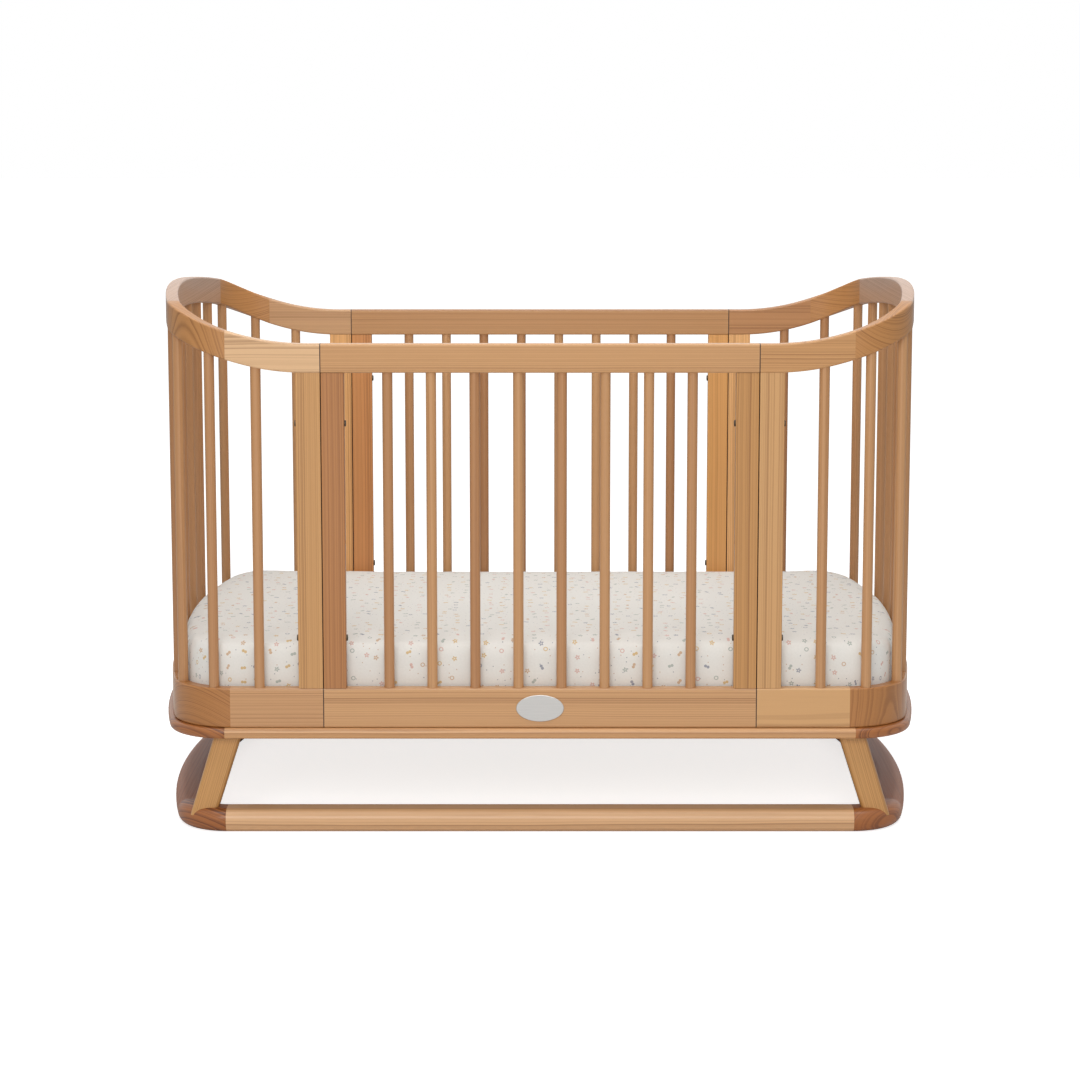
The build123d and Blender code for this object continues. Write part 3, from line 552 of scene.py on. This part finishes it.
for row, seed in (("front", 4), ("back", 9), ("left", 14), ("right", 23)):
    ends = dowel_axes(f"spindles_{row}")
    lines = bpy.data.meshes.new(f"turned_spindles_{row}")
    points = [point for pair in ends for point in pair]
    lines.from_pydata(points, [(2 * k, 2 * k + 1) for k in range(len(ends))], [])
    spindles = bpy.data.objects.new(f"turned_spindles_{row}", lines)
    studio.collection.objects.link(spindles)
    turning = spindles.modifiers.new("turning", "NODES")
    turning.node_group = dowel_tree
    wanted = {"Seed": seed, "Finish": spindle_pine}
    for item in dowel_tree.interface.items_tree:
        if item.item_type == "SOCKET" and item.in_out == "INPUT" and item.name in wanted:
            turning[item.identifier] = wanted[item.name]
    bake(spindles)
    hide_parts(f"spindles_{row}")
    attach(spindles, "frame")


# The top rail: a band of pine round the crib, level along the sides. Its ends rise in
# a curve over two arms, two corner blocks and a bow, glued in line.
coat("top_rail_front", pine("top_rail_pine_front", (195, 146, 96), pith=(0.0, 0.03, 0.11), joint=seam_x))
coat("top_rail_back", pine("top_rail_pine_back", (183, 134, 86), pith=(0.3, 0.05, 0.11), joint=seam_x))
for side, front, back in (("left", (214, 173, 129), (193, 148, 104)), ("right", (193, 142, 89), (179, 127, 80))):
    coat(f"top_arms_{side}", pine(f"top_arm_pine_{side}", front, back, fold=1.0, joint=seam_x))
    coat(f"top_corners_{side}", pine(f"top_corner_pine_{side}", (181, 127, 73), **corner_grain))
    coat(f"top_bow_{side}", pine(f"top_bow_pine_{side}", (184, 148, 122), turn=ALONG_Y))


# The base: pine slats on two long bearers and four battens, with a curved board at each
# end. It lies on the platform ring, and holes in the panel stiles take it higher up.
for name in ("base_bearers", "base_battens", "base_slats", "base_end_board_left", "base_end_board_right"):
    coat(name, pine(f"{name}_pine", (209, 166, 113)))


# The mattress: a foam block with a knitted cover, cut to the oval of the base, with
# soft rounded edges. Under the sheet only its underside shows, between the slats.
half_length, half_width = 0.650, 0.354
straight_half, corner_radius = 0.540, 0.083
corner_y = half_width - corner_radius
run = half_length - straight_half
bow_radius = (run**2 + corner_y**2 - corner_radius**2) / (2 * (run - corner_radius))
bow_x = half_length - bow_radius
bow_angle = math.atan2(corner_y, straight_half - bow_x)
bed_low, bed_high, edge_round = 0.2270, 0.3370, 0.018
rest_height, crown_top = 0.2262, 0.3410
covered_half_length, covered_half_width = 0.6545, 0.3585
most_push, cover_depth = 0.006, 0.0025


def nearest_edge(x, y):
    """Foot point on the mattress's outline, its outward direction and the depth inside."""
    across, along = math.copysign(1, y), math.copysign(1, x)
    x, y = abs(x), abs(y)
    turn_x, turn_y = x - straight_half, y - corner_y
    if math.atan2(y, x - bow_x) < bow_angle:
        way = Vector((x - bow_x, y, 0)).normalized()
        foot = Vector((bow_x, 0, 0)) + way * bow_radius
        depth = bow_radius - math.hypot(x - bow_x, y)
    elif turn_x <= 0:
        way, foot, depth = Vector((0, 1, 0)), Vector((x, half_width, 0)), half_width - y
    else:
        way = Vector((turn_x, turn_y, 0)).normalized()
        foot = Vector((straight_half, corner_y, 0)) + way * corner_radius
        depth = corner_radius - math.hypot(turn_x, turn_y)
    flip = Vector((along, across, 0))
    return foot * flip, way * flip, depth


def bed_outline(count):
    """Points round the mattress, anticlockwise, with their outward directions."""
    bow_run, corner_run = bow_radius * bow_angle, corner_radius * (math.pi / 2 - bow_angle)
    lap = bow_run + corner_run + straight_half
    quarter = []
    for step in range(count // 4 + 1):
        gone = lap * step / (count // 4)
        if gone < bow_run:
            angle = gone / bow_radius
            way = Vector((math.cos(angle), math.sin(angle), 0))
            quarter.append((Vector((bow_x, 0, 0)) + way * bow_radius, way))
        elif gone < bow_run + corner_run:
            angle = bow_angle + (gone - bow_run) / corner_radius
            way = Vector((math.cos(angle), math.sin(angle), 0))
            quarter.append((Vector((straight_half, corner_y, 0)) + way * corner_radius, way))
        else:
            quarter.append((Vector((lap - gone, half_width, 0)), Vector((0, 1, 0))))
    half = quarter + [(p * Vector((-1, 1, 0)), w * Vector((-1, 1, 0))) for p, w in reversed(quarter[:-1])]
    return half + [(p * Vector((1, -1, 0)), w * Vector((1, -1, 0))) for p, w in reversed(half[1:-1])]


outline = bed_outline(240)
angles = [math.pi / 2 * step / 6 for step in range(7)]
profile = [(edge_round * (1 - math.sin(a)), bed_low + edge_round * (1 - math.cos(a))) for a in angles]
profile += [(edge_round * (1 - math.cos(a)), bed_high - edge_round * (1 - math.sin(a))) for a in angles]
form = bmesh.new()
hoops = [[form.verts.new((p - w * inset) + Vector((0, 0, z))) for p, w in outline] for inset, z in profile]
for lower, upper in zip(hoops, hoops[1:]):
    for k in range(len(outline)):
        form.faces.new((lower[k], lower[k - len(outline) + 1], upper[k - len(outline) + 1], upper[k]))
form.faces.new(list(reversed(hoops[0])))
form.faces.new(hoops[-1])
bmesh.ops.recalc_face_normals(form, faces=form.faces)
blank = bpy.data.meshes.new("cushion_blank")
form.to_mesh(blank)
form.free()
cushion = bpy.data.objects.new("cushion_blank", blank)
studio.collection.objects.link(cushion)
grid = cushion.modifiers.new("grid", "REMESH")
grid.mode = "VOXEL"
grid.voxel_size = 0.0115
bake(cushion)
cut = [vertex.co.copy() for vertex in cushion.data.vertices]

puffed = [place.copy() for place in cut]
fixed = cushion.vertex_groups.new(name="underside")
fixed.add([k for k, place in enumerate(cut) if place.z < bed_low + 0.004], 1.0, "REPLACE")
foam = cushion.modifiers.new("foam", "CLOTH")
foam.settings.quality = 5
foam.settings.mass = 0.4
foam.settings.tension_stiffness = 25
foam.settings.compression_stiffness = 10
foam.settings.shear_stiffness = 8
foam.settings.bending_stiffness = 1.5
foam.settings.use_pressure = True
foam.settings.uniform_pressure_force = 4
foam.settings.vertex_group_mass = "underside"
foam.settings.effector_weights.gravity = 0
foam.point_cache.frame_start = 1
foam.point_cache.frame_end = 20
for moment in range(1, 21):
    studio.frame_set(moment)
bake(cushion)
studio.frame_set(1)
for k, vertex in enumerate(cushion.data.vertices):
    push = vertex.co - cut[k]
    if push.length > 1e-6:
        push *= most_push * math.tanh(push.length / most_push) / push.length
    puffed[k] = cut[k] + push

beneath = []
for k, place in enumerate(puffed):
    foot, way, depth = nearest_edge(cut[k].x, cut[k].y)
    if cut[k].z > bed_high - 0.002:
        crown = 0.0035 * min(max(depth, 0) / 0.18, 1) ** 0.5
        ripple = 0.0012 * noise.noise(Vector((place.x * 7, place.y * 9, 1.7)))
        ripple += 0.0006 * noise.noise(Vector((place.x * 21, place.y * 17, 6.1)))
        place.z += crown + ripple
    elif cut[k].z > bed_low + 0.012:
        place += way * 0.0013 * noise.noise(Vector((place.x * 16, place.y * 16, place.z * 7)))
    place.z = min(max(place.z, rest_height), crown_top)
    beneath.append(place)
fit_x = covered_half_length / max(place.x for place in beneath)
fit_y = covered_half_width / max(place.y for place in beneath)
beneath = [place * Vector((fit_x, fit_y, 1.0)) for place in beneath]

core = bpy.data.objects.new("foam_mattress", cushion.data.copy())
core.data.name = "foam_mattress"
studio.collection.objects.link(core)
for k, vertex in enumerate(core.data.vertices):
    vertex.co = beneath[k]
core.data.update()
for k, vertex in enumerate(core.data.vertices):
    vertex.co = beneath[k] - vertex.normal * cover_depth
    vertex.co.z = max(vertex.co.z, rest_height)
core.data.shade_smooth()
knit = bpy.data.materials.new("mattress_knit")
knit.use_nodes = True
tree = knit.node_tree
yarn = tree.nodes["Principled BSDF"]
yarn.inputs["Roughness"].default_value = 0.9
yarn.inputs["Sheen Weight"].default_value = 0.2
spot = node(tree, "ShaderNodeTexCoord")
loops = node(tree, "ShaderNodeTexVoronoi")
loops.inputs["Scale"].default_value = 420.0
cream = node(tree, "ShaderNodeMix", data_type="RGBA")
cream.inputs[6].default_value = linear(238, 235, 228)
cream.inputs[7].default_value = linear(222, 218, 210)
press = node(tree, "ShaderNodeBump")
press.inputs["Strength"].default_value = 0.5
press.inputs["Distance"].default_value = 0.0006
tree.links.new(spot.outputs["Object"], loops.inputs["Vector"])
tree.links.new(loops.outputs["Distance"], cream.inputs["Factor"])
tree.links.new(loops.outputs["Distance"], press.inputs["Height"])
tree.links.new(cream.outputs[2], yarn.inputs["Base Color"])
tree.links.new(press.outputs["Normal"], yarn.inputs["Normal"])
core.data.materials.clear()
core.data.materials.append(knit)
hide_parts("mattress")
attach(core, "mattress")


# The fitted sheet: printed cotton pulled over the mattress, its elastic hem turned
# in under the edge. Small blossoms, leaves and rings are scattered over it, with
# dots between them.
sheet_mesh = bpy.data.meshes.new("fitted_sheet_cloth")
cloth = bmesh.new()
cloth.from_mesh(cushion.data)
cloth.verts.ensure_lookup_table()
threads = cloth.loops.layers.uv.new("cloth")
hem_depth = 0.070
laid = {}
for k, vertex in enumerate(cloth.verts):
    vertex.co = beneath[k]
    foot, way, depth = nearest_edge(cut[k].x, cut[k].y)
    height = cut[k].z
    if height > bed_high - edge_round:
        rise = max(min((height - bed_high + edge_round) / edge_round, 1), 0)
        drop = -depth if depth > edge_round * 0.98 else -edge_round * math.asin(rise) * 0.98
    else:
        drop = bed_high - edge_round - height
    laid[vertex] = (foot + way * drop, depth, height)
under = [v for v in cloth.verts if laid[v][2] < bed_low + 0.004 and laid[v][1] > hem_depth]
for face in cloth.faces:
    for corner in face.loops:
        corner[threads].uv = laid[corner.vert][0].xy
bmesh.ops.delete(cloth, geom=under, context="VERTS")
for vertex in cloth.verts:
    if vertex.is_boundary:
        foot, way, depth = nearest_edge(vertex.co.x, vertex.co.y)
        vertex.co -= way * (hem_depth - depth)
bmesh.ops.recalc_face_normals(cloth, faces=cloth.faces)
cloth.to_mesh(sheet_mesh)
cloth.free()
sheet = bpy.data.objects.new("fitted_sheet_cloth", sheet_mesh)
studio.collection.objects.link(sheet)
fine = sheet.modifiers.new("fine", "SUBSURF")
fine.levels = 1
fine.render_levels = 1
cotton_thickness = sheet.modifiers.new("cotton", "SOLIDIFY")
cotton_thickness.thickness = 0.0008
cotton_thickness.offset = -1.0
bake(sheet)
sheet.data.shade_smooth()
bpy.data.objects.remove(cushion)

print_cotton = bpy.data.materials.new("printed_cotton")
print_cotton.use_nodes = True
tree = print_cotton.node_tree
skin = tree.nodes["Principled BSDF"]
skin.inputs["Roughness"].default_value = 0.85
skin.inputs["Sheen Weight"].default_value = 0.15
skin.inputs["Specular IOR Level"].default_value = 0.2
laid_out = node(tree, "ShaderNodeUVMap", uv_map="cloth")


def scatter(pitch, chance):
    """Offset from the nearest scattered spot in metres, its luck, and whether it is printed."""
    spots = node(tree, "ShaderNodeTexVoronoi", voronoi_dimensions="2D")
    spots.inputs["Scale"].default_value = 1.0 / pitch
    spots.inputs["Randomness"].default_value = 0.7
    tree.links.new(laid_out.outputs["UV"], spots.inputs["Vector"])
    away = node(tree, "ShaderNodeVectorMath", operation="SUBTRACT")
    luck = node(tree, "ShaderNodeSeparateColor")
    kept = node(tree, "ShaderNodeMath", operation="LESS_THAN")
    kept.inputs[1].default_value = chance
    tree.links.new(laid_out.outputs["UV"], away.inputs[0])
    tree.links.new(spots.outputs["Position"], away.inputs[1])
    tree.links.new(spots.outputs["Color"], luck.inputs[0])
    tree.links.new(luck.outputs["Blue"], kept.inputs[0])
    return away.outputs[0], luck, kept.outputs[0]


def work(operation, *values):
    """A math node; values are sockets or numbers."""
    step = node(tree, "ShaderNodeMath", operation=operation)
    for k, value in enumerate(values):
        if isinstance(value, float):
            step.inputs[k].default_value = value
        else:
            tree.links.new(value, step.inputs[k])
    return step.outputs[0]


offset, luck, printed = scatter(0.026, 0.82)
away = node(tree, "ShaderNodeSeparateXYZ")
tree.links.new(offset, away.inputs[0])
distance = node(tree, "ShaderNodeVectorMath", operation="LENGTH")
tree.links.new(offset, distance.inputs[0])
far_off = distance.outputs["Value"]
own_turn = work("MULTIPLY", luck.outputs["Red"], 6.283)
turned = work("ADD", work("ARCTAN2", away.outputs["Y"], away.outputs["X"]), own_turn)
petals = work("MULTIPLY_ADD", work("COSINE", work("MULTIPLY", turned, 5.0)), 0.0012, 0.0036)
blossom = work("MULTIPLY", work("LESS_THAN", far_off, petals), work("GREATER_THAN", far_off, 0.0011))
leaf = work("LESS_THAN", far_off, work("MULTIPLY_ADD", work("ABSOLUTE", work("COSINE", turned)), 0.0040, 0.0009))
hoop = work("LESS_THAN", work("ABSOLUTE", work("SUBTRACT", far_off, 0.0031)), 0.0008)
first = work("LESS_THAN", luck.outputs["Green"], 0.42)
last = work("GREATER_THAN", luck.outputs["Green"], 0.76)
middle = work("SUBTRACT", work("SUBTRACT", 1.0, first), last)
motif = work("ADD", work("MULTIPLY", blossom, first), work("MULTIPLY", leaf, middle))
motif = work("MULTIPLY", work("ADD", motif, work("MULTIPLY", hoop, last)), printed)
dot_offset, dot_luck, dotted = scatter(0.0135, 0.42)
dot_distance = node(tree, "ShaderNodeVectorMath", operation="LENGTH")
tree.links.new(dot_offset, dot_distance.inputs[0])
dots = work("MULTIPLY", work("LESS_THAN", dot_distance.outputs["Value"], 0.0010), dotted)


def dyes(luck_socket, colours):
    """One of a few dyes, picked by luck."""
    pots = node(tree, "ShaderNodeValToRGB")
    pots.color_ramp.interpolation = "CONSTANT"
    while len(pots.color_ramp.elements) < len(colours):
        pots.color_ramp.elements.new(0.5)
    for k, colour in enumerate(colours):
        pots.color_ramp.elements[k].position = k / len(colours)
        pots.color_ramp.elements[k].color = linear(*colour)
    tree.links.new(luck_socket, pots.inputs["Fac"])
    return pots.outputs["Color"]


motif_dye = dyes(
    luck.outputs["Red"], [(128, 132, 148), (196, 158, 118), (205, 168, 96), (208, 164, 152), (160, 168, 160)]
)
dot_dye = dyes(dot_luck.outputs["Red"], [(120, 122, 136), (188, 150, 116), (150, 150, 158)])
slub = node(tree, "ShaderNodeTexNoise")
slub.inputs["Scale"].default_value = 260.0
slub.inputs["Detail"].default_value = 3.0
tree.links.new(laid_out.outputs["UV"], slub.inputs["Vector"])
ground = node(tree, "ShaderNodeMix", data_type="RGBA")
ground.inputs[6].default_value = linear(231, 229, 223)
ground.inputs[7].default_value = linear(221, 219, 213)
tree.links.new(slub.outputs["Fac"], ground.inputs["Factor"])
with_dots = node(tree, "ShaderNodeMix", data_type="RGBA")
tree.links.new(work("MULTIPLY", dots, 0.7), with_dots.inputs["Factor"])
tree.links.new(ground.outputs[2], with_dots.inputs[6])
tree.links.new(dot_dye, with_dots.inputs[7])
with_motifs = node(tree, "ShaderNodeMix", data_type="RGBA")
tree.links.new(work("MULTIPLY", motif, 0.78), with_motifs.inputs["Factor"])
tree.links.new(with_dots.outputs[2], with_motifs.inputs[6])
tree.links.new(motif_dye, with_motifs.inputs[7])
creases = node(tree, "ShaderNodeTexNoise")
creases.inputs["Scale"].default_value = 9.0
creases.inputs["Detail"].default_value = 2.0
tree.links.new(laid_out.outputs["UV"], creases.inputs["Vector"])
height = work("ADD", creases.outputs["Fac"], work("MULTIPLY", slub.outputs["Fac"], 0.06))
press = node(tree, "ShaderNodeBump")
press.inputs["Strength"].default_value = 0.35
press.inputs["Distance"].default_value = 0.004
tree.links.new(height, press.inputs["Height"])
tree.links.new(with_motifs.outputs[2], skin.inputs["Base Color"])
tree.links.new(press.outputs["Normal"], skin.inputs["Normal"])
sheet.data.materials.clear()
sheet.data.materials.append(print_cotton)
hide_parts("fitted_sheet")
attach(sheet, "mattress")


# The fittings: bolts, sleeve nuts and countersunk screws of dark plated steel. They
# hold the panels, the ends and the legs, and few of them show once the crib stands.
def satin_metal(name, tone, roughness, brushed):
    """Plated or brushed metal with a fine drawn grain along X."""
    finish = bpy.data.materials.new(name)
    finish.use_nodes = True
    tree = finish.node_tree
    skin = tree.nodes["Principled BSDF"]
    skin.inputs["Metallic"].default_value = 1.0
    spot = node(tree, "ShaderNodeTexCoord", (-900, 0))
    drawn = node(tree, "ShaderNodeMapping", (-700, 0))
    drawn.inputs["Scale"].default_value = brushed
    scratch = node(tree, "ShaderNodeTexNoise", (-500, 0))
    scratch.inputs["Scale"].default_value = 1.0
    scratch.inputs["Detail"].default_value = 3.0
    mottle = node(tree, "ShaderNodeMix", (-250, 100), data_type="RGBA")
    mottle.inputs[6].default_value = linear(*tone)
    mottle.inputs[7].default_value = linear(*[0.93 * part for part in tone])
    polish = node(tree, "ShaderNodeMapRange", (-250, -100))
    polish.inputs["To Min"].default_value = roughness - 0.06
    polish.inputs["To Max"].default_value = roughness + 0.08
    dents = node(tree, "ShaderNodeBump", (-250, -350))
    dents.inputs["Strength"].default_value = 0.08
    dents.inputs["Distance"].default_value = 0.0002
    tree.links.new(spot.outputs["Object"], drawn.inputs["Vector"])
    tree.links.new(drawn.outputs[0], scratch.inputs["Vector"])
    tree.links.new(scratch.outputs["Fac"], mottle.inputs["Factor"])
    tree.links.new(scratch.outputs["Fac"], polish.inputs["Value"])
    tree.links.new(scratch.outputs["Fac"], dents.inputs["Height"])
    tree.links.new(mottle.outputs[2], skin.inputs["Base Color"])
    tree.links.new(polish.outputs["Result"], skin.inputs["Roughness"])
    tree.links.new(dents.outputs["Normal"], skin.inputs["Normal"])
    return finish


for name in ("connector_bolts", "sleeve_nuts", "body_screws", "leg_screws", "leg_bolts"):
    coat(name, satin_metal(f"{name}_plating", (84, 76, 66), 0.45, (900.0, 900.0, 900.0)))


# The oval plate: a blank oval of brushed metal with a satin face, fixed flat to the
# middle of the front rail.
coat("oval_plate", satin_metal("oval_plate_satin", (197, 195, 192), 0.42, (30.0, 1500.0, 1500.0)))
